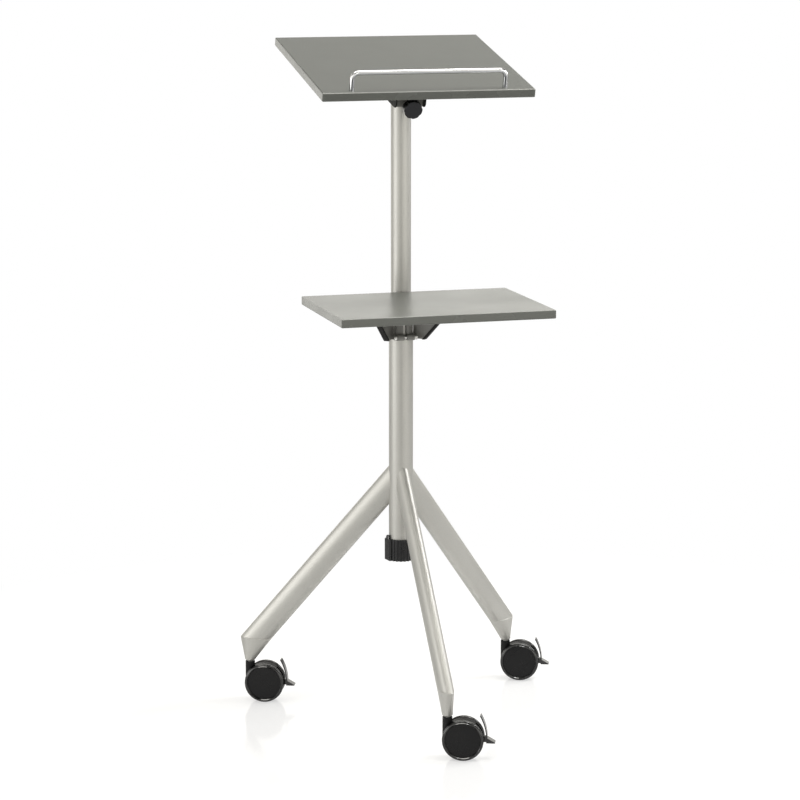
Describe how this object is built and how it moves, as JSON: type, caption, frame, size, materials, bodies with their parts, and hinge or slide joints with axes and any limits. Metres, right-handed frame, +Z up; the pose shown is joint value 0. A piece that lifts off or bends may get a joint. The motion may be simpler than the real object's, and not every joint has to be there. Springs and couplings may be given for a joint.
{
  "type": "portable projector stand",
  "caption": "Portable projector stand on braked twin-wheel castors: sloping legs, telescoping column, fixed shelf and a tilting tray with a chrome stop bar.",
  "frame": {"origin": "Middle of the whole stand's footprint, on the floor.", "axes": "+Z up, +X to the user's right, -Y towards the user, who stands at the stop bar's side of the tray."},
  "size_m": [0.6306, 0.5222, 1.293],
  "materials": {
    "silver_paint": "satin silver powder paint",
    "grey_laminate": "grey laminate, semi-gloss",
    "black_plastic": "moulded black",
    "tread": "smooth black tread",
    "chrome_rod": "polished plating",
    "dark_casting": "dark grey paint",
    "bright_steel": "zinc plated"
  },
  "bodies": {
    "base": {"lower_column": "silver_paint", "column_bush": "black_plastic", "column_end_cap": "black_plastic", "leg_front": "silver_paint", "leg_left": "silver_paint", "leg_right": "silver_paint", "foot_front": "silver_paint", "foot_left": "silver_paint", "foot_right": "silver_paint", "castor_pin_front": "bright_steel", "castor_pin_left": "bright_steel", "castor_pin_right": "bright_steel", "shelf_board": "grey_laminate", "shelf_bracket_left": "dark_casting", "shelf_bracket_right": "dark_casting", "bracket_clamp_screw": "bright_steel"},
    "mast": {"upper_column": "silver_paint", "tilt_head": "silver_paint", "tilt_barrel": "dark_casting"},
    "tray": {"tray_board": "grey_laminate", "tilt_channel": "dark_casting", "tilt_pivot_bolt": "bright_steel", "clamp_bridge": "dark_casting", "stop_bar": "chrome_rod"},
    "knob": {"tilt_knob": "black_plastic"},
    "castor_front": {"castor_body_front": "black_plastic", "castor_axle_front": "bright_steel"},
    "wheel_front_a": {"wheel_disc_front_a": "black_plastic", "tyre_front_a": "tread"},
    "wheel_front_b": {"wheel_disc_front_b": "black_plastic", "tyre_front_b": "tread"},
    "brake_front": {"brake_pedal_front": "black_plastic"},
    "castor_left": {"castor_body_left": "black_plastic", "castor_axle_left": "bright_steel"},
    "wheel_left_a": {"wheel_disc_left_a": "black_plastic", "tyre_left_a": "tread"},
    "wheel_left_b": {"wheel_disc_left_b": "black_plastic", "tyre_left_b": "tread"},
    "brake_left": {"brake_pedal_left": "black_plastic"},
    "castor_right": {"castor_body_right": "black_plastic", "castor_axle_right": "bright_steel"},
    "wheel_right_a": {"wheel_disc_right_a": "black_plastic", "tyre_right_a": "tread"},
    "wheel_right_b": {"wheel_disc_right_b": "black_plastic", "tyre_right_b": "tread"},
    "brake_right": {"brake_pedal_right": "black_plastic"}
  },
  "joints": [
    {"name": "column_height", "type": "slide", "parent": "base", "child": "mast", "axis": [0, 0, 1], "range_m": [-0.25, 0.05]},
    {"name": "tray_tilt", "type": "hinge", "parent": "mast", "child": "tray", "pos_m": [-0.03384, 0.0873, 1.1995], "axis": [1, 0, 0], "range_deg": [-12.75, 17.25]},
    {"name": "knob_turn", "type": "hinge", "parent": "tray", "child": "knob", "pos_m": [-0.03384, 0.0873, 1.1995], "axis": [0, -0.9429, -0.333], "continuous": true},
    {"name": "castor_swivel_front", "type": "hinge", "parent": "base", "child": "castor_front", "pos_m": [-0.03384, -0.2177, 0.0785], "axis": [0, 0, 1], "continuous": true},
    {"name": "wheel_spin_front_a", "type": "hinge", "parent": "castor_front", "child": "wheel_front_a", "pos_m": [-0.00649, -0.22875, 0.0385], "axis": [0.3746, 0.9272, 0], "continuous": true},
    {"name": "wheel_spin_front_b", "type": "hinge", "parent": "castor_front", "child": "wheel_front_b", "pos_m": [-0.00649, -0.22875, 0.0385], "axis": [0.3746, 0.9272, 0], "continuous": true},
    {"name": "brake_press_front", "type": "hinge", "parent": "castor_front", "child": "brake_front", "pos_m": [0.0204, -0.23961, 0.0385], "axis": [0.3746, 0.9272, 0], "range_deg": [0, 12]},
    {"name": "castor_swivel_left", "type": "hinge", "parent": "base", "child": "castor_left", "pos_m": [-0.29797, 0.2398, 0.0785], "axis": [0, 0, 1], "continuous": true},
    {"name": "wheel_spin_left_a", "type": "hinge", "parent": "castor_left", "child": "wheel_left_a", "pos_m": [-0.27062, 0.22875, 0.0385], "axis": [0.3746, 0.9272, 0], "continuous": true},
    {"name": "wheel_spin_left_b", "type": "hinge", "parent": "castor_left", "child": "wheel_left_b", "pos_m": [-0.27062, 0.22875, 0.0385], "axis": [0.3746, 0.9272, 0], "continuous": true},
    {"name": "brake_press_left", "type": "hinge", "parent": "castor_left", "child": "brake_left", "pos_m": [-0.24374, 0.21789, 0.0385], "axis": [0.3746, 0.9272, 0], "range_deg": [0, 12]},
    {"name": "castor_swivel_right", "type": "hinge", "parent": "base", "child": "castor_right", "pos_m": [0.2303, 0.2398, 0.0785], "axis": [0, 0, 1], "continuous": true},
    {"name": "wheel_spin_right_a", "type": "hinge", "parent": "castor_right", "child": "wheel_right_a", "pos_m": [0.25765, 0.22875, 0.0385], "axis": [0.3746, 0.9272, 0], "continuous": true},
    {"name": "wheel_spin_right_b", "type": "hinge", "parent": "castor_right", "child": "wheel_right_b", "pos_m": [0.25765, 0.22875, 0.0385], "axis": [0.3746, 0.9272, 0], "continuous": true},
    {"name": "brake_press_right", "type": "hinge", "parent": "castor_right", "child": "brake_right", "pos_m": [0.28454, 0.21789, 0.0385], "axis": [0.3746, 0.9272, 0], "range_deg": [0, 12]}
  ]
}
